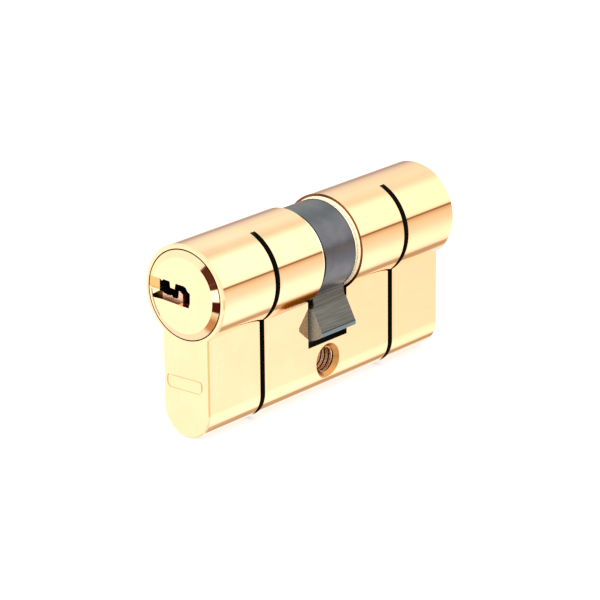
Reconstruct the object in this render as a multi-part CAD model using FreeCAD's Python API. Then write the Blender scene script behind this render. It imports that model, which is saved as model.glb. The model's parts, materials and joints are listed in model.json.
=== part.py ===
import FreeCAD, Part
import math
import os

V = FreeCAD.Vector
os.makedirs("parts", exist_ok=True)

# Euro-profile double cylinder.  Row frame in millimetres: X across the web, Y along the plugs with
# the front key face at -Y, Z up.  The origin is the centre of the M5 fixing-screw hole.

# --- housing ------------------------------------------------------------------------------------
LENGTH = 60.0               # over both end faces, 30/30
AXIS_Z = 18.45              # plug axis above the fixing-screw hole
BARREL_R = 8.45
WEB_HALF = 4.9
WEB_BOTTOM = -5.95          # lowest line of the full-round web bottom
END_CHAMFER = 0.25
SLOT_HALF = 5.05            # half the width of the cam slot
SLOT_FLOOR = AXIS_Z - 15.0
PLUG_BORE_R = 6.54
HEAD_BORE_R = 7.64
HEAD_BORE_DEPTH = 1.65
RIM_R = 7.75                # rim round the retaining clip, on both walls of the cam slot
RIM_BORE_R = 7.1
RIM_END = 4.08

# --- snap grooves -------------------------------------------------------------------------------
GROOVE_Y = 16.8
GROOVE_WIDTH = 1.2
GROOVE_DEPTH = 1.1
GROOVE_START_DEG = 21.0     # from the top of the barrel, where the groove meets the surface
GROOVE_FULL_DEG = 30.0      # where it has its full depth

# --- fixing-screw thread M5 ---------------------------------------------------------------------
THREAD_CREST_R = 2.1
THREAD_ROOT_R = 2.5
THREAD_PITCH = 0.8
THREAD_ROOT_FLAT = 0.1
THREAD_FLANK_DEG = 17.0     # narrow grooves, so that over half of the wall is crest
THREAD_OVERLAP = 0.1        # how far the cutting profile reaches inside the crest
SINK_R = 2.95

# --- blank maker's frame on the front of the web ------------------------------------------------
FRAME_X = -0.3
FRAME_Z = 3.3
FRAME_WIDTH = 7.6
FRAME_HEIGHT = 2.4
FRAME_LINE = 0.28
FRAME_DEPTH = 0.14
FRAME_CORNER = 0.8

# --- plug ---------------------------------------------------------------------------------------
PLUG_R = 6.5
HEAD_R = 7.5
HEAD_THICK = 1.55
FACE_R = 6.35
FACE_PROUD = 0.5
SPIGOT_R = 5.6
SPIGOT_END = 0.3            # distance of the spigot's end from mid length
BAR_SLOT_HALF = 1.2
BAR_SLOT_END = 3.85
TIP_BORE_R = 2.2
TIP_BORE_LENGTH = 7.0
KEYWAY_END = 5.6
KEYWAY_BODY_R = 6.15        # the keyway stays inside this radius behind the head
KEYWAY_MOUTH = 1.5
WARD_SETBACK = 0.9          # behind the face, where the narrower warded keyway begins
NOTCH_START = -4.8
NOTCH_BOTTOM = 0.17         # above the axis
NOTCH_TOP = 2.03
NOTCH_DEPTH = 0.04
NOTCH_SLOPE = 0.19

# --- retaining clip -----------------------------------------------------------------------------
CLIP_Y = 4.2
CLIP_THICK = 0.7
CLIP_INNER_R = 5.05
CLIP_OUTER_R = 7.0
CLIP_GAP = 5.0
CLIP_GROOVE_R = 5.0
CLIP_GROOVE_SPARE = 0.05

# --- cam ----------------------------------------------------------------------------------------
RING_R = 7.8
RING_HALF = 4.0
CAM_BORE_R = 5.65
CAM_RECESS_R = 6.75
CAM_BAND_HALF = 1.85
LUG_TILT_DEG = 20.5         # from straight down towards +X
LUG_HALF = 4.45
LUG_TIP_R = 14.7
LUG_FLANK = (               # distance along the lug's centre line, half width
    (7.0, 2.9), (7.35, 2.9), (7.62, 2.54), (9.66, 2.17), (13.9, 2.68), (14.45, 2.45),
)
NECK_END = 9.0
NECK_SPARE = 0.2            # how far the neck's cutter reaches past the lug's sides

# --- coupling bars ------------------------------------------------------------------------------
BAR_HALF = 1.15
BAR_R = 6.65
BAR_THICK = 1.7
BAR_REST = 0.05             # inner face of the engaged bar from mid length
BAR_TRAVEL = 1.9
HUB_R = 2.0
HUB_LENGTH = 0.95

# --- pins, springs and chamber plugs ------------------------------------------------------------
PIN_ROWS = (22.7, 19.0, 14.6, 10.9, 7.2)        # from mid length, outermost first, clear of the groove
CHAMBER_R = 1.3
CHAMBER_TOP = 0.4           # above the axis, clear of the ward and open into the keyway
PIN_R = 1.25
KEY_PIN_BASE = 6.36         # below the axis
KEY_PIN_TIP_R = 0.45
KEY_PIN_TOPS = (-0.9, -0.2, -0.6, 0.1, -0.45)   # above the axis, outermost pin first
DRIVER_TOP = 6.56           # below the axis
DRIVER_LENGTH = 4.4
DRIVER_CHAMFER = 0.3
KEY_PIN_CHAMFER = 0.15
STOPPER_R = 1.29
STOPPER_LENGTH = 2.0
SPRING_MEAN_R = 1.0
WIRE_R = 0.15
SPRING_TURNS = 10
SPRING_SPARE = 0.05

FAR = 40.0                  # longer than anything it cuts


def on_axis(radius, y_from, y_to):
    """Cylinder round the plug axis between two positions along Y."""
    return Part.makeCylinder(radius, y_to - y_from, V(0, y_from, AXIS_Z), V(0, 1, 0))


def prism(points, y_from, y_to):
    """Straight-sided prism along Y; the points are X and height above the plug axis."""
    corners = [V(x, y_from, AXIS_Z + z) for x, z in points]
    face = Part.Face(Part.makePolygon(corners + corners[:1]))
    return face.extrude(V(0, y_to - y_from, 0))


def box(x_range, y_range, z_range):
    size = [high - low for low, high in (x_range, y_range, z_range)]
    return Part.makeBox(size[0], size[1], size[2], V(x_range[0], y_range[0], z_range[0]))


def turned_round(shape):
    """The same piece fitted from the rear: half a turn about the vertical."""
    copy = shape.copy()
    copy.rotate(V(0, 0, 0), V(0, 0, 1), 180)
    return copy


def save(shape, node):
    shape.exportStep("parts/" + node + ".step")


def profile(inset, y_from, y_to):
    """Solid of the euro profile, moved in by inset all round."""
    radius = BARREL_R - inset
    half = WEB_HALF - inset
    bottom = WEB_BOTTOM + inset
    neck_z = AXIS_Z - math.sqrt(radius ** 2 - half ** 2)
    round_z = bottom + half
    barrel = Part.Arc(V(half, 0, neck_z), V(0, 0, AXIS_Z + radius), V(-half, 0, neck_z))
    left = Part.LineSegment(V(-half, 0, neck_z), V(-half, 0, round_z))
    foot = Part.Arc(V(-half, 0, round_z), V(0, 0, bottom), V(half, 0, round_z))
    right = Part.LineSegment(V(half, 0, round_z), V(half, 0, neck_z))
    wire = Part.Wire([piece.toShape() for piece in (barrel, left, foot, right)])
    face = Part.Face(wire)
    face.translate(V(0, y_from, 0))
    return face.extrude(V(0, y_to - y_from, 0))


def end_edges(solid):
    picked = []
    for edge in solid.Edges:
        ends = [vertex.Y for vertex in edge.Vertexes]
        if min(abs(y) for y in ends) > LENGTH / 2 - 0.01 and max(ends) - min(ends) < 0.01:
            picked.append(edge)
    return picked


def snap_groove(y_mid):
    """Narrow slot that follows the outline, running out on both sides of the barrel's top."""
    y_from = y_mid - GROOVE_WIDTH / 2
    y_to = y_mid + GROOVE_WIDTH / 2
    ring = profile(-1.0, y_from, y_to).cut(profile(GROOVE_DEPTH, y_from - 1, y_to + 1))
    start = math.radians(GROOVE_START_DEG)
    full = math.radians(GROOVE_FULL_DEG)
    floor_r = BARREL_R - GROOVE_DEPTH
    reach = 2 * BARREL_R
    ramp = [
        (floor_r * math.sin(full), floor_r * math.cos(full)),
        (BARREL_R * math.sin(start), BARREL_R * math.cos(start)),
        (reach * math.sin(start), reach * math.cos(start)),
    ]
    keep = [(0, 0)] + ramp + [(-x, z) for x, z in reversed(ramp)]
    return ring.cut(prism(keep, y_from - 1, y_to + 1))


def thread_cutter():
    """Tapped hole along X: crest cylinder, helical ridge and a countersink at each side."""
    run = 2 * (WEB_HALF + THREAD_PITCH)
    helix = Part.makeHelix(THREAD_PITCH, run, THREAD_ROOT_R)
    inner_r = THREAD_CREST_R - THREAD_OVERLAP
    root_half = THREAD_ROOT_FLAT / 2
    inner_half = root_half + (THREAD_ROOT_R - inner_r) * math.tan(math.radians(THREAD_FLANK_DEG))
    corners = [
        V(inner_r, 0, -inner_half),
        V(THREAD_ROOT_R, 0, -root_half),
        V(THREAD_ROOT_R, 0, root_half),
        V(inner_r, 0, inner_half),
    ]
    outline = Part.makePolygon(corners + corners[:1])
    ridge = Part.Wire(helix.Edges).makePipeShell([outline], True, True)
    ridge.rotate(V(0, 0, 0), V(0, 1, 0), 90)
    ridge.translate(V(-run / 2, 0, 0))
    hole = Part.makeCylinder(THREAD_CREST_R, 2 * FAR, V(-FAR, 0, 0), V(1, 0, 0))
    return hole.fuse(ridge).fuse([countersink(-1), countersink(1)])


def countersink(side):
    depth = SINK_R - THREAD_CREST_R
    outer_r = SINK_R + 1.0
    start = V(side * (WEB_HALF - depth), 0, 0)
    return Part.makeCone(THREAD_CREST_R, outer_r, depth + 1.0, start, V(side, 0, 0))


def rounded_block(inset):
    """Block through the front face with rounded corners, smaller by inset all round."""
    half_x = FRAME_WIDTH / 2 - inset
    half_z = FRAME_HEIGHT / 2 - inset
    depth = (-LENGTH / 2 - 1, -LENGTH / 2 + FRAME_DEPTH)
    block = box((FRAME_X - half_x, FRAME_X + half_x), depth, (FRAME_Z - half_z, FRAME_Z + half_z))
    corners = [edge for edge in block.Edges if abs(edge.tangentAt(edge.FirstParameter).y) > 0.9]
    return block.makeFillet(FRAME_CORNER - inset, corners)


def makers_frame():
    """Blank engraved frame; it carries no lettering."""
    return rounded_block(0).cut(rounded_block(FRAME_LINE))


def slot_rim():
    """Rim that stands on the rear wall of the cam slot, round the retaining clip."""
    return on_axis(RIM_R, RIM_END, SLOT_HALF + 1).cut(on_axis(RIM_BORE_R, -FAR, SLOT_HALF))


def housing():
    half = LENGTH / 2
    body = profile(0, -half, half)
    body = body.makeChamfer(END_CHAMFER, end_edges(body))
    body = body.cut(box((-FAR, FAR), (-SLOT_HALF, SLOT_HALF), (SLOT_FLOOR, SLOT_FLOOR + FAR)))
    body = body.fuse([slot_rim(), turned_round(slot_rim())]).removeSplitter()
    cuts = [
        on_axis(PLUG_BORE_R, -FAR, FAR),
        on_axis(HEAD_BORE_R, -FAR, -half + HEAD_BORE_DEPTH),
        on_axis(HEAD_BORE_R, half - HEAD_BORE_DEPTH, FAR),
        snap_groove(-GROOVE_Y),
        snap_groove(GROOVE_Y),
        makers_frame(),
        thread_cutter(),
    ]
    for row in PIN_ROWS:
        for y in (-row, row):
            cuts.append(Part.makeCylinder(CHAMBER_R, AXIS_Z - WEB_BOTTOM + 1, V(0, y, WEB_BOTTOM - 1)))
    for cutter in cuts:
        body = body.cut(cutter)
    return body


def keyway_points():
    """Keyway outline as X and height above the axis, clockwise from the top left corner."""
    return [
        (-4.80, 2.03), (-4.26, 1.72), (-3.98, 2.02), (-2.64, 1.90), (-2.52, 0.89), (-1.64, 0.79),
        (-1.37, 1.78), (0.32, 1.70), (0.82, 1.50), (1.16, 0.94), (1.66, 0.65), (1.61, -0.98),
        (1.32, -1.85), (-0.57, -1.75), (-4.26, -1.44), (-6.31, -1.46), (-6.66, -1.08), (-4.84, -0.06),
    ]


def ward_points():
    """Ward that fills the bottom of the keyway and stands up as a narrow rib."""
    return [
        (-7.0, -2.5), (-7.0, -0.1), (-5.55, -0.24), (-4.87, -0.64), (-3.92, -0.88), (-3.30, -0.87),
        (-3.09, -0.72), (-2.76, -1.07), (-2.28, -1.13), (-1.62, -0.94), (-1.49, 0.27), (-1.28, 0.26),
        (-0.68, -0.20), (-0.66, -2.5),
    ]


def keyway():
    face_y = -LENGTH / 2 - FACE_PROUD
    mouth_end = face_y + KEYWAY_MOUTH
    mouth = prism(keyway_points(), face_y - 1, mouth_end)
    deep = prism(keyway_points(), mouth_end - 0.1, -KEYWAY_END)
    deep = deep.common(on_axis(KEYWAY_BODY_R, -FAR, FAR))
    return mouth.fuse(deep).cut(prism(ward_points(), face_y + WARD_SETBACK, 0))


def side_notch():
    """Shallow notch from the keyway to the edge of the head, deeper towards the edge."""
    face_y = -LENGTH / 2 - FACE_PROUD
    corners = [
        V(NOTCH_START, face_y - 1, 0),
        V(NOTCH_START, face_y + NOTCH_DEPTH, 0),
        V(-HEAD_R - 1, face_y + NOTCH_DEPTH + (HEAD_R + 1 + NOTCH_START) * NOTCH_SLOPE, 0),
        V(-HEAD_R - 1, face_y - 1, 0),
    ]
    wedge = Part.Face(Part.makePolygon(corners + corners[:1])).extrude(V(0, 0, NOTCH_TOP - NOTCH_BOTTOM))
    wedge.translate(V(0, 0, AXIS_Z + NOTCH_BOTTOM))
    return wedge


def plug():
    """Front plug: bevelled head, keyway, pin chambers and a slotted spigot for the coupling bar."""
    half = LENGTH / 2
    head = on_axis(HEAD_R, -half, -half + HEAD_THICK)
    bevel = Part.makeCone(FACE_R, HEAD_R, FACE_PROUD, V(0, -half - FACE_PROUD, AXIS_Z), V(0, 1, 0))
    barrel = on_axis(PLUG_R, -half + HEAD_THICK / 2, -SLOT_HALF)
    spigot = on_axis(SPIGOT_R, -SLOT_HALF - 1, -SPIGOT_END)
    body = head.fuse([bevel, barrel, spigot]).removeSplitter()
    groove_from = -CLIP_Y - CLIP_THICK - CLIP_GROOVE_SPARE
    groove_to = -CLIP_Y + CLIP_GROOVE_SPARE
    clip_groove = on_axis(SPIGOT_R + 1, groove_from, groove_to).cut(on_axis(CLIP_GROOVE_R, -FAR, FAR))
    bar_z = (AXIS_Z - BAR_SLOT_HALF, AXIS_Z + BAR_SLOT_HALF)
    cuts = [
        keyway(),
        side_notch(),
        clip_groove,
        box((-FAR, FAR), (-BAR_SLOT_END, 0), bar_z),
        on_axis(TIP_BORE_R, -TIP_BORE_LENGTH, 0),
    ]
    for row in PIN_ROWS:
        start = AXIS_Z - PLUG_R - 1
        cuts.append(Part.makeCylinder(CHAMBER_R, AXIS_Z + CHAMBER_TOP - start, V(0, -row, start)))
    for cutter in cuts:
        body = body.cut(cutter)
    return body


def clip():
    """Open retaining ring in the spigot's groove."""
    ring = on_axis(CLIP_OUTER_R, -CLIP_Y - CLIP_THICK, -CLIP_Y)
    ring = ring.cut(on_axis(CLIP_INNER_R, -FAR, FAR))
    gap_x = (-CLIP_GAP / 2, CLIP_GAP / 2)
    return ring.cut(box(gap_x, (-FAR, FAR), (AXIS_Z, AXIS_Z + FAR)))


def lug_point(along, across, y):
    """Point given along the tilted lug's centre line, across it, and along the plug axis."""
    tilt = math.radians(LUG_TILT_DEG)
    x = along * math.sin(tilt) + across * math.cos(tilt)
    z = -along * math.cos(tilt) + across * math.sin(tilt)
    return V(x, y, AXIS_Z + z)


def lug():
    """Driving lug at its full width, from inside the ring to the rounded tip."""
    right = [lug_point(along, across, -LUG_HALF) for along, across in LUG_FLANK]
    left = [lug_point(along, -across, -LUG_HALF) for along, across in LUG_FLANK]
    tip = Part.Arc(right[-1], lug_point(LUG_TIP_R, 0, -LUG_HALF), left[-1]).toShape()
    edges = [Part.makeLine(first, second) for first, second in zip(right, right[1:])]
    edges.append(tip)
    back = list(reversed(left)) + right[:1]
    edges += [Part.makeLine(first, second) for first, second in zip(back, back[1:])]
    return Part.Face(Part.Wire(edges)).extrude(V(0, 2 * LUG_HALF, 0))


def neck_cutter():
    """Takes the lug's side back to the ring's width between the ring and the lug's wide part."""
    widening = LUG_HALF + NECK_SPARE - RING_HALF
    corners = [
        lug_point(0, -FAR, RING_HALF),
        lug_point(NECK_END, -FAR, RING_HALF),
        lug_point(NECK_END + widening, -FAR, RING_HALF + widening),
        lug_point(0, -FAR, RING_HALF + widening),
    ]
    face = Part.Face(Part.makePolygon(corners + corners[:1]))
    return face.extrude(lug_point(0, FAR, 0) - lug_point(0, -FAR, 0))


def cam():
    """Ring that runs on both spigots, keyed inside for the coupling bars, with the driving lug."""
    ring = on_axis(RING_R, -RING_HALF, RING_HALF)
    far_side = neck_cutter()
    near_side = far_side.mirror(V(0, 0, 0), V(0, 1, 0))
    body = ring.fuse(lug().cut([near_side, far_side])).removeSplitter()
    recess = on_axis(CAM_RECESS_R, CAM_BAND_HALF, FAR)
    key_y = CAM_BAND_HALF + 1
    band_key = box((-FAR, FAR), (-key_y, key_y), (AXIS_Z - BAR_SLOT_HALF, AXIS_Z + BAR_SLOT_HALF))
    band_key = band_key.common(on_axis(CAM_RECESS_R, -FAR, FAR))
    for cutter in (on_axis(CAM_BORE_R, -FAR, FAR), recess, turned_round(recess), band_key):
        body = body.cut(cutter)
    return body


def coupling(y_inner):
    """Cross bar with a short hub towards mid length; the bar's inner face is at -y_inner."""
    bar = on_axis(BAR_R, -y_inner - BAR_THICK, -y_inner)
    bar = bar.common(box((-FAR, FAR), (-FAR, FAR), (AXIS_Z - BAR_HALF, AXIS_Z + BAR_HALF)))
    hub = on_axis(HUB_R, -y_inner - BAR_THICK, -y_inner + HUB_LENGTH)
    return bar.fuse(hub).removeSplitter()


def key_pin(row, top):
    base = AXIS_Z - KEY_PIN_BASE
    tip = AXIS_Z + top
    cone_height = PIN_R - KEY_PIN_TIP_R
    points = [
        V(0, 0, base),
        V(PIN_R - KEY_PIN_CHAMFER, 0, base),
        V(PIN_R, 0, base + KEY_PIN_CHAMFER),
        V(PIN_R, 0, tip - cone_height),
        V(KEY_PIN_TIP_R, 0, tip),
        V(0, 0, tip),
    ]
    return spun(points, row)


def driver_pin(row):
    top = AXIS_Z - DRIVER_TOP
    base = top - DRIVER_LENGTH
    points = [
        V(0, 0, base),
        V(PIN_R - DRIVER_CHAMFER, 0, base),
        V(PIN_R, 0, base + DRIVER_CHAMFER),
        V(PIN_R, 0, top - DRIVER_CHAMFER),
        V(PIN_R - DRIVER_CHAMFER, 0, top),
        V(0, 0, top),
    ]
    return spun(points, row)


def spun(points, row):
    face = Part.Face(Part.makePolygon(points + points[:1]))
    solid = face.revolve(V(0, 0, 0), V(0, 0, 1), 360)
    solid.translate(V(0, -row, 0))
    return solid


def spring(row):
    """Compression spring between the chamber plug and the driver pin."""
    low = WEB_BOTTOM + STOPPER_LENGTH + SPRING_SPARE + WIRE_R
    high = AXIS_Z - DRIVER_TOP - DRIVER_LENGTH - SPRING_SPARE - WIRE_R
    pitch = (high - low) / SPRING_TURNS
    helix = Part.makeHelix(pitch, high - low, SPRING_MEAN_R)
    section = Part.Wire(Part.makeCircle(WIRE_R, V(SPRING_MEAN_R, 0, 0), V(0, 1, 0)))
    coil = Part.Wire(helix.Edges).makePipeShell([section], True, True)
    coil.translate(V(0, -row, low))
    return coil


def chamber_plugs():
    """Brass stoppers in the chamber mouths, ground flush with the web's bottom."""
    plugs = []
    for row in PIN_ROWS:
        plugs.append(Part.makeCylinder(STOPPER_R, STOPPER_LENGTH + 1, V(0, -row, WEB_BOTTOM - 1)))
    return Part.makeCompound(plugs).common(profile(0, -LENGTH / 2, 0))


def solids_only(shape):
    return Part.makeCompound(shape.Solids)


def main():
    save(housing(), "housing")
    front_plug = plug()
    save(front_plug, "plug_front")
    save(turned_round(front_plug), "plug_rear")
    front_clip = clip()
    save(front_clip, "clip_front")
    save(turned_round(front_clip), "clip_rear")
    save(cam(), "cam")
    save(coupling(BAR_REST), "coupling_front")
    save(turned_round(coupling(BAR_REST + BAR_TRAVEL)), "coupling_rear")
    stoppers = solids_only(chamber_plugs())
    save(stoppers, "chamber_plugs_front")
    save(turned_round(stoppers), "chamber_plugs_rear")
    for number, (row, top) in enumerate(zip(PIN_ROWS, KEY_PIN_TOPS), start=1):
        pieces = {"key_pin": key_pin(row, top), "driver_pin": driver_pin(row), "spring": spring(row)}
        for name, shape in pieces.items():
            save(shape, name + "_front_" + str(number))
            save(turned_round(shape), name + "_rear_" + str(number))


main()
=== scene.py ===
import json
import math

import bpy
from mathutils import Matrix, Vector


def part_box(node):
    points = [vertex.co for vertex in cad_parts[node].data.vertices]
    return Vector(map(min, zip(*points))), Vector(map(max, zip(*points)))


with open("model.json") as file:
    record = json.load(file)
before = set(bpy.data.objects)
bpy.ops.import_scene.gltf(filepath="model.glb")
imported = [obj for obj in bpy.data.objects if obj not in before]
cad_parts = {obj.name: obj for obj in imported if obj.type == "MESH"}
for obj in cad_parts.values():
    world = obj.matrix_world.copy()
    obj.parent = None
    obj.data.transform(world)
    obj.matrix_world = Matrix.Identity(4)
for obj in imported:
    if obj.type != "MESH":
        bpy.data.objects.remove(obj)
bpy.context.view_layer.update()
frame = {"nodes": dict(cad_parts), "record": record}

MM = 0.001
EDGE = 0.02 * MM             # a mask's border lies this far from the surface that it follows
SKIN = 0.03 * MM

# housing; its box runs from the foot of the web to the top of the barrel
HOUSING_LOW, HOUSING_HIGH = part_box("housing")
BARREL_R = HOUSING_HIGH.x
HALF_LENGTH = HOUSING_HIGH.y
AXIS_Z = HOUSING_HIGH.z - BARREL_R      # the plug axis; every "height" below is from it
GROOVE_Y = 16.8 * MM
GROOVE_HALF = 0.604 * MM
SCREW_HOLE_R = 3.05 * MM
THREAD_HALF = 4.0 * MM       # the thread lies between the two countersinks
THREAD_DARK = (2.12 * MM, 2.28 * MM)
SLOT_HALF = 5.06 * MM
SLOT_FLOOR = -15.0 * MM
SLOT_DARK_BELOW = -6.9 * MM
RIM_R = 7.75 * MM
WALL_DARK_R = 7.98 * MM      # outside this the cam slot's walls are painted dark brown as painted shade
WALL_BLUR = 0.05 * MM
LUG_REFLECTION_Y = (-15.2 * MM, -13.2 * MM)
LUG_REFLECTION_END_Y = -5.0 * MM
LUG_REFLECTION_TOP = (-3.9 * MM, -4.6 * MM)
SHADE_TOP = (-5.5 * MM, -5.9 * MM)
SEAM_HEIGHT = -6.95 * MM     # just below where barrel and web meet
HEAD_GAP_R = 7.57 * MM       # middle of the gap around a plug's head
HEAD_GAP_HALF = 0.11 * MM
HEAD_START_Y = 27.0 * MM

# plugs; "across" runs over the keyway, the same way on both ends
HEAD_EDGE_R = 7.46 * MM
FACE_Y = -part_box("plug_front")[0].y
MOUTH_Y = FACE_Y - 0.05 * MM
WARD_Y = FACE_Y - 0.9 * MM
WARD_FLANK = 1.6 * MM
KEYWAY_R = 6.3 * MM
KEYWAY_TIP_R = 6.8 * MM
KEYWAY_TIP = -5.0 * MM
TIP_TOP = -0.1 * MM
MOUTH_FLOOR = -1.2 * MM
MOUTH_END = -1.0 * MM
RIB_END = -0.75 * MM
CORNER_TOP = -1.5 * MM
CORNER_START = 0.2 * MM
NOTCH_START = 4.8 * MM
NOTCH_SLOPE = 0.19
NOTCH_LOW = 0.18 * MM
NOTCH_HIGH = 2.02 * MM
NOTCH_INNER_Y = FACE_Y - 0.7 * MM

# cam
RING_EDGE = 3.82 * MM        # outside this the cam's ring is painted dark as painted shade beside the gaps
RING_EDGE_BLUR = 0.04 * MM
LOW_EDGE_Y = (-3.66 * MM, -3.72 * MM)
LOW_EDGE_TOP = (2.5 * MM, 1.0 * MM)
LUG_TILT = math.radians(20.5)
LUG_START = (7.4 * MM, 7.7 * MM)
LUG_SIDE_Y = (4.40 * MM, 4.44 * MM)
LUG_STRIP = 13.88 * MM       # where the bright strip at the lug's tip begins
STRIP_BLUR = 0.05 * MM
STRIP_LINE = LUG_STRIP - 0.14 * MM
STRIP_LINE_WIDTH = (0.14 * MM, 0.06 * MM)

# studio
FLOOR_R = 160.0 * MM
FLOOR_SIDES = 96
FLOOR_GLOW = 0.62
SKY = 2.2                    # the sky's ramps hold brightness as a share of this
BACKDROP = 1.05
CAMERA_TURN = 39.868
CAMERA_LIFT = 18.689
CAMERA_ROLL = -0.576
CAMERA_DISTANCE = 538.306 * MM
CAMERA_TARGET = (0.0, -1.22 * MM, 9.963 * MM)
CAMERA_LENS = 193.63
SENSOR = 36.0


class Nodes:
    """Short way to build a node tree."""

    def __init__(self, tree):
        self.tree = tree
        tree.nodes.clear()

    def add(self, kind, settings=(), **inputs):
        node = self.tree.nodes.new(kind)
        for name, value in settings:
            setattr(node, name, value)
        for name, value in inputs.items():
            self.put(node.inputs[int(name[1:]) if name[0] == "_" else name.replace("_", " ")], value)
        return node

    def put(self, socket, value):
        if hasattr(value, "is_output"):
            self.tree.links.new(value, socket)
        else:
            socket.default_value = value

    def math(self, operation, first, second=0.0, third=0.0, clamp=False):
        node = self.add("ShaderNodeMath", [("operation", operation), ("use_clamp", clamp)], _0=first, _1=second)
        self.put(node.inputs[2], third)
        return node.outputs[0]

    def step(self, value, low, high):
        """0 at low, 1 at high, smooth between; low may be above high."""
        node = self.add("ShaderNodeMapRange", [("interpolation_type", "SMOOTHSTEP")])
        for name, number in (("Value", value), ("From Min", low), ("From Max", high)):
            self.put(node.inputs[name], number)
        return node.outputs[0]

    def mix(self, factor, first, second):
        node = self.add("ShaderNodeMix", [("data_type", "RGBA")])
        self.put(node.inputs["Factor"], factor)
        self.put(node.inputs[6], first)
        self.put(node.inputs[7], second)
        return node.outputs[2]

    def blend(self, factor, first, second):
        node = self.add("ShaderNodeMix", [("data_type", "FLOAT")])
        self.put(node.inputs["Factor"], factor)
        self.put(node.inputs[2], first)
        self.put(node.inputs[3], second)
        return node.outputs[0]

    def product(self, first, *others):
        for other in others:
            first = self.math("MULTIPLY", first, other)
        return first

    def below(self, value, limit):
        return self.math("LESS_THAN", value, limit)

    def above(self, value, limit):
        return self.math("GREATER_THAN", value, limit)

    def size(self, value):
        return self.math("ABSOLUTE", value)

    def distance(self, first, second):
        squares = self.math("ADD", self.product(first, first), self.product(second, second))
        return self.math("SQRT", squares)

    def ramp(self, factor, stops):
        node = self.add("ShaderNodeValToRGB", _0=factor)
        elements = node.color_ramp.elements
        while len(elements) < len(stops):
            elements.new(0.5)
        for element, (position, colour) in zip(elements, stops):
            element.position = position
            element.color = (*colour, 1)
        return node.outputs[0]

    def noise(self, vector, scale, detail=3.0, rough=0.5):
        node = self.add("ShaderNodeTexNoise", Scale=scale, Detail=detail, Roughness=rough)
        self.put(node.inputs["Vector"], vector)
        return node.outputs[0]

    def stretched(self, vector, scale):
        node = self.add("ShaderNodeMapping", Scale=scale)
        self.put(node.inputs["Vector"], vector)
        return node.outputs[0]


def rgb(red, green, blue):
    return (red, green, blue, 1.0)


class Surface(Nodes):
    """A material, with the object coordinates split into X, Y and height above the plug axis."""

    def __init__(self, name):
        self.material = bpy.data.materials.new(name)
        self.material.use_nodes = True
        super().__init__(self.material.node_tree)
        self.place = self.add("ShaderNodeTexCoord").outputs["Object"]
        parts = self.add("ShaderNodeSeparateXYZ", _0=self.place)
        self.x, self.y, self.z = parts.outputs
        self.height = self.math("SUBTRACT", self.z, AXIS_Z)
        self.radius = self.distance(self.x, self.height)

    def close(self, colour, roughness, bumps, metallic=1.0, **sockets):
        """Principled shader; bumps is a list of (height, strength, distance)."""
        shader = self.add("ShaderNodeBsdfPrincipled")
        self.put(shader.inputs["Metallic"], metallic)
        self.put(shader.inputs["Base Color"], colour)
        self.put(shader.inputs["Roughness"], roughness)
        for name, value in sockets.items():
            self.put(shader.inputs[name.replace("_", " ")], value)
        normal = None
        for height, strength, distance in bumps:
            bump = self.add("ShaderNodeBump", Strength=strength, Distance=distance)
            self.put(bump.inputs["Height"], height)
            if normal is not None:
                self.put(bump.inputs["Normal"], normal)
            normal = bump.outputs[0]
        if normal is not None:
            self.put(shader.inputs["Normal"], normal)
        output = self.add("ShaderNodeOutputMaterial")
        self.put(output.inputs["Surface"], shader.outputs[0])
        return self.material


BRASS = rgb(0.95, 0.635, 0.375)
BRASS_DEEP = rgb(0.90, 0.55, 0.29)
BRASS_RED = rgb(0.80, 0.42, 0.22)
BRASS_LIGHT = rgb(0.95, 0.66, 0.39)
GROOVE_AND_SHADE_BLACK = rgb(0.026, 0.029, 0.023)
GAP_SHADE_BLACK = rgb(0.055, 0.045, 0.022)
SINK_SHADE_BRASS = rgb(0.46, 0.21, 0.06)
THREAD_CREST_HIGHLIGHT = rgb(1.0, 0.76, 0.60)
THREAD_ROOT_SHADE = rgb(0.11, 0.022, 0.010)
RIM_HIGHLIGHT_CREAM = rgb(1.0, 0.88, 0.66)
WALL_SHADE_BROWN = rgb(0.18, 0.065, 0.022)
LUG_REFLECTION_BROWN = rgb(0.50, 0.12, 0.015)
SHADE_BROWN = rgb(0.46, 0.33, 0.19)
LUG_REFLECTION_EDGE = rgb(0.92, 0.60, 0.28)
WHITE = rgb(1.0, 1.0, 1.0)
SALMON_DARK = rgb(0.74, 0.40, 0.25)
SALMON_LIGHT = rgb(0.92, 0.60, 0.42)
KEYWAY_SHADE_RED = rgb(0.06, 0.012, 0.01)
KEYWAY_SHADE_BLACK = rgb(0.02, 0.006, 0.008)
KEYWAY_SHADE_FLANK = rgb(0.42, 0.10, 0.04)
TIP_SHADE_BROWN = rgb(0.13, 0.05, 0.008)
NOTCH_REFLECTION_GOLD = rgb(0.72, 0.40, 0.13)


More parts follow.
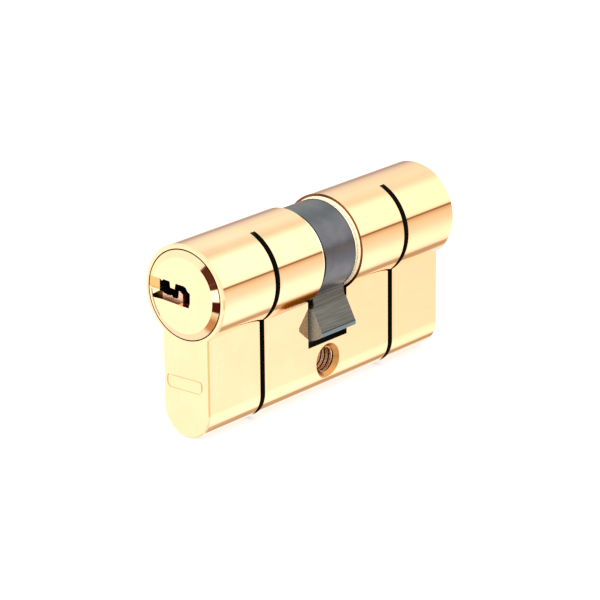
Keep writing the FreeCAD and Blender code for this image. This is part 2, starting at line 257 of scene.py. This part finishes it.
def polished_brass():
    """Polished and lacquered brass; grooves are coloured near black, the cam slot is painted with shade and
    highlight, machined insides are duller.
    """
    s = Surface("polished_brass")
    cloud = s.noise(s.place, 160.0, 4.0)
    tone = s.mix(s.product(s.step(cloud, 0.35, 0.7), 0.35), BRASS, BRASS_DEEP)
    # painted shade: the brass is painted deeper towards the +Y end
    tone = s.mix(s.product(s.step(s.y, -HALF_LENGTH, HALF_LENGTH), 0.8), tone, BRASS_DEEP)
    polish_lines = s.noise(s.stretched(s.place, (2600.0, 60.0, 2600.0)), 1.0, 4.0, 0.6)
    tone = s.mix(s.product(s.step(polish_lines, 0.45, 0.75), 0.10), tone, BRASS_RED)

    # fixing hole: painted highlight on the thread crests, painted shade in the thread roots and the countersinks
    from_screw = s.distance(s.y, s.z)
    hole = s.below(from_screw, SCREW_HOLE_R)
    in_thread = s.below(s.size(s.x), THREAD_HALF)
    thread_root_shade = s.product(s.step(from_screw, *THREAD_DARK), in_thread)
    hole_tone = s.mix(in_thread, SINK_SHADE_BRASS, THREAD_CREST_HIGHLIGHT)
    hole_tone = s.mix(thread_root_shade, hole_tone, THREAD_ROOT_SHADE)
    tone = s.mix(hole, tone, hole_tone)

    # walls of the cam slot: a painted highlight in cream on the inner rim, painted shade in brown on the outer
    # wall
    slot = s.below(s.size(s.y), SLOT_HALF)
    beside_ring = s.product(slot, s.below(s.radius, BARREL_R - EDGE))
    wall_shade = s.product(beside_ring, s.step(s.radius, WALL_DARK_R - WALL_BLUR, WALL_DARK_R + WALL_BLUR))
    rim_highlight = s.math("SUBTRACT", beside_ring, wall_shade)
    tone = s.mix(rim_highlight, tone, RIM_HIGHLIGHT_CREAM)
    tone = s.mix(wall_shade, tone, WALL_SHADE_BROWN)

    # painted reflection of the lug under the barrel, beside the slot, with painted shade along its lower strip
    near_slot = s.product(s.step(s.y, *LUG_REFLECTION_Y), s.below(s.y, LUG_REFLECTION_END_Y), s.above(s.height, SEAM_HEIGHT))
    lug_reflection = s.product(near_slot, s.step(s.height, *LUG_REFLECTION_TOP))
    shade = s.product(near_slot, s.step(s.height, *SHADE_TOP))
    tone = s.mix(s.product(lug_reflection, 0.95), tone, LUG_REFLECTION_BROWN)
    tone = s.mix(s.product(shade, 0.85), tone, SHADE_BROWN)

    # gap around a plug's head and slot in the web, both painted near black as painted shade; snap grooves
    # coloured near black
    in_gap = s.below(s.size(s.math("SUBTRACT", s.radius, HEAD_GAP_R)), HEAD_GAP_HALF)
    head_gap_shade = s.product(in_gap, s.above(s.size(s.y), HEAD_START_Y))
    tone = s.mix(head_gap_shade, tone, GAP_SHADE_BLACK)
    in_band = s.below(s.size(s.math("SUBTRACT", s.size(s.y), GROOVE_Y)), GROOVE_HALF)
    below_skin = s.below(s.radius, BARREL_R - SKIN)
    groove = s.product(in_band, s.math("MAXIMUM", below_skin, s.below(s.height, 0.0)))
    # painted shade: the slot in the web is painted near black
    in_web = s.product(s.below(s.height, SLOT_DARK_BELOW), s.above(s.height, SLOT_FLOOR - EDGE))
    slot_shade = s.product(slot, in_web, s.above(s.radius, RIM_R))
    dark = s.math("MAXIMUM", groove, slot_shade)
    tone = s.mix(dark, tone, GROOVE_AND_SHADE_BLACK)

    smudge = s.step(s.noise(s.place, 420.0, 3.0), 0.3, 0.8)
    rough = s.math("MULTIPLY_ADD", smudge, 0.02, 0.035)
    rough = s.blend(s.product(s.math("MAXIMUM", hole, beside_ring), 0.8), rough, 0.28)
    rough = s.blend(s.product(lug_reflection, 0.8), rough, 0.22)
    rough = s.blend(dark, rough, 0.7)
    waves = s.noise(s.stretched(s.place, (420.0, 14.0, 420.0)), 1.0, 2.0)
    bumps = [(waves, 0.08, 0.006 * MM), (polish_lines, 0.2, 0.0008 * MM)]
    # the rim's painted highlight is made half diffuse so that it catches more light
    metallic = s.math("MULTIPLY_ADD", rim_highlight, -0.5, 1.0)
    # above the painted shade strip, the painted reflection also tints the specular reflection orange
    edge_tint = s.mix(s.math("SUBTRACT", lug_reflection, shade), WHITE, LUG_REFLECTION_EDGE)
    return s.close(tone, rough, bumps, metallic=metallic, Specular_Tint=edge_tint)


def plug_brass():
    """Turned brass: fine rings about the plug axis; the keyway behind the face is unpolished and painted dark as
    painted shade.
    """
    s = Surface("plug_brass")
    cloud = s.noise(s.place, 240.0, 4.0)
    tone = s.mix(s.step(cloud, 0.35, 0.7), BRASS_LIGHT, BRASS)
    turning = s.add("ShaderNodeTexNoise", [("noise_dimensions", "1D")], Scale=9000.0, Detail=2.0)
    s.put(turning.inputs["W"], s.radius)
    rings = turning.outputs[0]
    tone = s.mix(s.product(s.step(rings, 0.45, 0.8), 0.10), tone, BRASS_DEEP)

    inward = s.size(s.y)
    across = s.product(s.x, s.product(s.math("SIGN", s.y), -1.0))
    in_keyway = s.below(s.radius, KEYWAY_R)

    # ward and rib, set back behind the face
    grit = s.noise(s.place, 3200.0, 3.0, 0.6)
    salmon = s.mix(s.step(grit, 0.35, 0.7), SALMON_DARK, SALMON_LIGHT)
    ward = s.product(s.below(inward, WARD_Y + SKIN), in_keyway)
    tone = s.mix(ward, tone, salmon)
    # painted shade: the low floor of the keyway's mouth is painted near black
    low_floor = s.product(s.below(s.height, MOUTH_FLOOR), s.below(across, MOUTH_END))
    mouth = s.product(s.below(inward, MOUTH_Y), s.above(inward, WARD_Y + SKIN))
    tone = s.mix(s.product(mouth, in_keyway, low_floor), tone, KEYWAY_SHADE_RED)

    # behind the ward: painted shade, near black deep in and reddish brown just behind the ward beside the rib;
    # the lower corner keeps the ward's salmon
    deep = s.product(s.below(inward, WARD_Y - SKIN), in_keyway)
    beside_rib = s.product(s.step(inward, WARD_Y - WARD_FLANK, WARD_Y), s.above(across, RIB_END))
    tone = s.mix(deep, tone, s.mix(beside_rib, KEYWAY_SHADE_BLACK, KEYWAY_SHADE_FLANK))
    corner = s.product(s.below(s.height, CORNER_TOP), s.above(across, CORNER_START))
    tone = s.mix(s.product(corner, deep), tone, salmon)
    # painted shade: the keyway's tip is painted dark brown
    keyway_tip_shade = s.product(s.below(across, KEYWAY_TIP), s.below(s.radius, KEYWAY_TIP_R))
    keyway_tip_shade = s.product(keyway_tip_shade, s.below(s.height, TIP_TOP), s.below(inward, FACE_Y - 2 * EDGE))
    tone = s.mix(keyway_tip_shade, tone, TIP_SHADE_BROWN)
    # painted shade: the gap around the plug's head is painted black
    head_gap_shade = s.product(s.above(s.radius, HEAD_EDGE_R), s.above(inward, HEAD_START_Y))
    tone = s.mix(head_gap_shade, tone, GAP_SHADE_BLACK)

    # sloped notch beside the keyway, its floor painted a deeper gold as a painted reflection
    notch_floor = s.math("MULTIPLY_ADD", s.math("ADD", across, NOTCH_START), NOTCH_SLOPE, FACE_Y - EDGE)
    sunk = s.product(s.below(inward, notch_floor), s.above(inward, NOTCH_INNER_Y))
    outside_keyway = s.below(across, -NOTCH_START - SKIN)
    band = s.product(s.above(s.height, NOTCH_LOW), s.below(s.height, NOTCH_HIGH))
    notch = s.product(sunk, outside_keyway, band)
    tone = s.mix(s.product(notch, 0.8), tone, NOTCH_REFLECTION_GOLD)

    rough = s.math("MULTIPLY_ADD", s.step(cloud, 0.3, 0.8), 0.015, 0.03)
    rough = s.blend(s.math("MAXIMUM", ward, notch), rough, 0.38)
    rough = s.blend(deep, rough, 0.5)
    return s.close(tone, rough, [(rings, 0.25, 0.0005 * MM), (grit, s.product(ward, 0.4), 0.004 * MM)])


def plain_metal(name, light, dark, rough, scale=1500.0, grain=(1.0, 1.0, 1.0), depth=0.002):
    """Small inner pieces: a grained metal with slight colour and gloss variation."""
    s = Surface(name)
    grains = s.noise(s.stretched(s.place, grain), scale, 4.0, 0.6)
    patches = s.noise(s.place, 300.0, 3.0)
    tone = s.mix(s.step(patches, 0.35, 0.7), light, dark)
    tone = s.mix(s.product(s.step(grains, 0.4, 0.8), 0.25), tone, dark)
    gloss = s.math("MULTIPLY_ADD", s.step(grains, 0.3, 0.8), 0.12, rough)
    return s.close(tone, gloss, [(grains, 0.4, depth * MM)])


def sintered_steel():
    """Dark sintered steel: matte ring, brushed lug faces and a brighter ground strip at the tip."""
    s = Surface("sintered_steel")
    along_x = s.product(s.x, math.sin(LUG_TILT))
    along = s.math("SUBTRACT", along_x, s.product(s.height, math.cos(LUG_TILT)))
    lug = s.step(along, *LUG_START)
    strip = s.step(along, LUG_STRIP - STRIP_BLUR, LUG_STRIP + STRIP_BLUR)
    line = s.step(s.size(s.math("SUBTRACT", along, STRIP_LINE)), *STRIP_LINE_WIDTH)
    side = s.product(s.step(s.size(s.y), *LUG_SIDE_Y), lug)
    pores = s.noise(s.place, 5200.0, 2.0, 0.7)
    patches = s.noise(s.place, 420.0, 3.0)
    brushed = s.noise(s.stretched(s.place, (8200.0, 160.0, 8200.0)), 1.0, 3.0, 0.65)

    ring_tone = s.mix(s.step(patches, 0.3, 0.75), rgb(0.104, 0.106, 0.115), rgb(0.134, 0.126, 0.134))
    # painted shade: the ring is painted dark towards both edges, beside the gaps to the slot walls
    ring_edge_shade = s.step(s.size(s.y), RING_EDGE - RING_EDGE_BLUR, RING_EDGE + RING_EDGE_BLUR)
    ring_tone = s.mix(s.product(ring_edge_shade, 0.8), ring_tone, rgb(0.02, 0.018, 0.012))
    # painted shade: the lower front edge of the ring is painted near black
    low_edge_shade = s.product(s.step(s.y, *LOW_EDGE_Y), s.step(s.height, *LOW_EDGE_TOP))
    ring_tone = s.mix(low_edge_shade, ring_tone, rgb(0.006, 0.006, 0.006))
    face_tone = s.mix(s.step(brushed, 0.35, 0.7), rgb(0.096, 0.091, 0.078), rgb(0.160, 0.155, 0.134))
    side_tone = s.mix(s.step(pores, 0.4, 0.65), rgb(0.20, 0.20, 0.175), rgb(0.44, 0.445, 0.40))
    tone = s.mix(lug, ring_tone, face_tone)
    tone = s.mix(s.product(line, 0.95), tone, rgb(0.03, 0.045, 0.055))
    tone = s.mix(strip, tone, rgb(0.165, 0.20, 0.21))
    tone = s.mix(side, tone, side_tone)

    rough = s.math("MULTIPLY_ADD", s.step(pores, 0.3, 0.8), 0.08, 0.26)
    rough = s.blend(lug, rough, 0.42)
    bumps = [(pores, 0.3, 0.003 * MM), (brushed, s.product(lug, 0.5), 0.004 * MM)]
    metallic = s.math("MULTIPLY_ADD", side, -0.55, 1.0)
    return s.close(tone, rough, bumps, metallic=metallic)


MATERIALS = {
    "polished_brass": polished_brass(),
    "plug_brass": plug_brass(),
    "stopper_brass": plain_metal("stopper_brass", BRASS, BRASS_DEEP, 0.10, 900.0, (1.0, 0.1, 1.0), 0.001),
    "pin_brass": plain_metal("pin_brass", rgb(0.86, 0.62, 0.34), rgb(0.62, 0.40, 0.20), 0.22),
    "pin_steel": plain_metal("pin_steel", rgb(0.62, 0.61, 0.60), rgb(0.42, 0.41, 0.40), 0.20),
    "spring_steel": plain_metal("spring_steel", rgb(0.48, 0.48, 0.49), rgb(0.26, 0.26, 0.28), 0.28),
    "coupling_steel": plain_metal("coupling_steel", rgb(0.40, 0.40, 0.41), rgb(0.22, 0.21, 0.21), 0.35),
    "sintered_steel": sintered_steel(),
}
for part in frame["record"]["subparts"]:
    mesh = frame["nodes"][part["node"]].data
    mesh.materials.clear()
    mesh.materials.append(MATERIALS[part["material_slot"]])


def floor():
    """Round pale floor under the web."""
    turns = [2 * math.pi * k / FLOOR_SIDES for k in range(FLOOR_SIDES)]
    points = [(FLOOR_R * math.cos(turn), FLOOR_R * math.sin(turn), HOUSING_LOW.z) for turn in turns]
    mesh = bpy.data.meshes.new("floor")
    mesh.from_pydata(points, [], [list(range(FLOOR_SIDES))])
    piece = bpy.data.objects.new("floor", mesh)
    bpy.context.scene.collection.objects.link(piece)
    s = Surface("floor_white")
    grain = s.noise(s.place, 90.0, 3.0)
    tone = s.mix(s.step(grain, 0.3, 0.8), rgb(0.42, 0.42, 0.42), rgb(0.40, 0.40, 0.40))
    bumps = [(grain, 0.1, 0.02 * MM)]
    material = s.close(tone, 0.8, bumps, metallic=0.0, Emission_Color=WHITE, Emission_Strength=FLOOR_GLOW)
    mesh.materials.append(material)
    piece.visible_glossy = False


def elevation(degrees):
    """Place of an elevation on the sky's colour ramp."""
    return (math.sin(math.radians(degrees)) + 1) / 2


def grey(*stops):
    """Ramp stops from (elevation, brightness) or (elevation, brightness, green, blue)."""
    ramp = []
    for stop in stops:
        colour = (stop[1],) * 3 if len(stop) == 2 else stop[1:]
        ramp.append((elevation(stop[0]), tuple(value / SKY for value in colour)))
    return ramp


def lit(red, green, blue):
    """A sky colour from the brightness that it should have."""
    return rgb(red / SKY, green / SKY, blue / SKY)


def studio():
    """Soft white surround: a large softbox to the right rear, a gentler wall to the left, a dark horizon."""
    world = bpy.data.worlds.new("studio")
    bpy.context.scene.world = world
    world.use_nodes = True
    n = Nodes(world.node_tree)
    direction = n.add("ShaderNodeTexCoord").outputs["Generated"]
    x, y, z = n.add("ShaderNodeSeparateXYZ", _0=direction).outputs
    lift = n.math("MULTIPLY_ADD", z, 0.5, 0.5)
    right = n.ramp(lift, grey(
        (-60, 1.5), (-44, 1.6), (-33, 1.75), (-26, 1.65), (-20, 1.45),
        (-16, 1.36, 1.30, 1.3), (-12, 1.24, 1.20, 1.14), (-8, 1.16, 1.12, 1.04), (-3, 1.08, 1.03, 0.90),
        (1.0, 0.98, 0.85, 0.68), (3.6, 0.80, 0.62, 0.44), (4.6, 0.34, 0.20, 0.12), (6.0, 0.36, 0.22, 0.14),
        (7.8, 1.5), (12, 1.8), (20, 1.85), (50, 1.85), (70, 1.5)))
    left = n.ramp(lift, grey(
        (-60, 1.2), (-36, 1.18), (-30, 1.15), (-20, 1.2), (-15, 1.1), (-11, 1.0), (-7, 0.86),
        (-3, 0.66, 0.56, 0.52), (1, 0.56, 0.43, 0.36), (5, 0.58, 0.46, 0.40), (9, 0.68, 0.63, 0.60),
        (12.6, 0.79), (16.4, 0.93), (20, 1.0, 1.02, 0.98), (25, 1.08, 1.16, 1.10), (31, 1.12, 1.24, 1.2),
        (37, 1.16, 1.32, 1.34), (41, 1.14, 1.25, 1.25), (43, 1.04, 1.12, 1.06), (46, 1.0, 1.05, 1.0), (70, 1.2)))
    face = n.ramp(lift, grey(
        (-60, 1.2), (-48, 1.2), (-30, 1.45), (-19, 1.55), (-5, 1.45),
        (1, 1.35), (18, 1.35), (40, 1.6), (70, 1.3)))
    front = n.ramp(lift, grey(
        (-60, 1.3), (-50, 1.2), (-46, 0.66, 0.38, 0.20), (-38, 0.62, 0.34, 0.18), (-33, 0.9, 0.85, 0.55),
        (-29, 1.0), (-27.5, 0.08, 0.015, 0.01), (-17.5, 0.08, 0.015, 0.01), (-15.5, 2.3), (-5.6, 2.1),
        (-4.0, 0.12, 0.04, 0.025), (14.4, 0.12, 0.04, 0.025), (15.4, 1.35), (30, 1.6), (70, 1.4)))

    # masks over the direction looked in: along X, Y and Z from -1 to 1
    sides = n.mix(n.step(x, -0.03, 0.29), left, right)
    copper = n.product(n.step(z, -0.622, -0.652), n.step(z, -0.75, -0.70))
    copper = n.product(copper, n.step(y, 0.35, 0.5), n.step(x, 0.16, 0.03))
    sides = n.mix(copper, sides, lit(0.64, 0.51, 0.35))
    sides = n.mix(n.step(x, -0.80, -0.92), sides, lit(1.4, 1.4, 1.3))
    # before either end: a plain wall with dark and bright cards straight ahead, clear of the axis
    bearing = n.size(n.math("ARCTAN2", x, n.product(y, -1.0)))
    before_face = n.step(bearing, math.radians(82), math.radians(55))
    facing = n.step(bearing, math.radians(28), math.radians(18))
    off_axis = n.distance(x, z)
    upper_cards = n.step(off_axis, 0.030, 0.036)
    lower_cards = n.math("MAXIMUM", n.step(z, -0.50, -0.53), n.step(x, 0.012, 0.032))
    facing = n.product(facing, n.blend(n.step(z, -0.10, -0.14), upper_cards, lower_cards))
    seen = n.mix(facing, n.mix(before_face, sides, face), front)
    corner = n.product(n.step(x, 0.52, 0.62), n.step(y, -0.40, -0.50))
    corner = n.product(corner, n.step(n.size(n.math("ADD", z, 0.32)), 0.17, 0.11))
    seen = n.mix(corner, seen, lit(1.0, 1.0, 0.72))

    # the camera sees a plain backdrop instead
    surround = n.add("ShaderNodeBackground", Strength=SKY)
    n.put(surround.inputs["Color"], seen)
    plain = n.add("ShaderNodeBackground", Color=WHITE, Strength=BACKDROP)
    camera_ray = n.add("ShaderNodeLightPath").outputs["Is Camera Ray"]
    shown = n.add("ShaderNodeMixShader")
    n.put(shown.inputs[0], camera_ray)
    n.put(shown.inputs[1], surround.outputs[0])
    n.put(shown.inputs[2], plain.outputs[0])
    n.put(n.add("ShaderNodeOutputWorld").inputs["Surface"], shown.outputs[0])


def softbox(name, place, aim, size, watts):
    """Round area light."""
    light = bpy.data.lights.new(name, "AREA")
    light.shape = "DISK"
    light.size = size
    light.energy = watts
    piece = bpy.data.objects.new(name, light)
    piece.location = place
    piece.rotation_euler = (Vector(aim) - Vector(place)).to_track_quat("-Z", "Y").to_euler()
    bpy.context.scene.collection.objects.link(piece)


def camera():
    """Long lens at the photograph's angle."""
    turn, lift, roll = (math.radians(value) for value in (CAMERA_TURN, CAMERA_LIFT, CAMERA_ROLL))
    back = Vector((math.sin(turn) * math.cos(lift), -math.cos(turn) * math.cos(lift), math.sin(lift)))
    right = Vector((math.cos(turn), math.sin(turn), 0.0))
    up = back.cross(right)
    right, up = (right * math.cos(roll) + up * math.sin(roll), up * math.cos(roll) - right * math.sin(roll))
    lens = bpy.data.cameras.new("camera")
    lens.sensor_width = SENSOR
    lens.lens = CAMERA_LENS
    lens.clip_start = 0.01
    piece = bpy.data.objects.new("camera", lens)
    rotation = Matrix((right, up, back)).transposed().to_4x4()
    piece.matrix_world = Matrix.Translation(Vector(CAMERA_TARGET) + back * CAMERA_DISTANCE) @ rotation
    bpy.context.scene.collection.objects.link(piece)
    bpy.context.scene.camera = piece


floor()
studio()
softbox("top_light", place=(0.02, -0.05, 0.22), aim=(0.0, 0.0, 0.0), size=0.16, watts=0.35)
camera()
bpy.context.scene.view_settings.view_transform = "Standard"
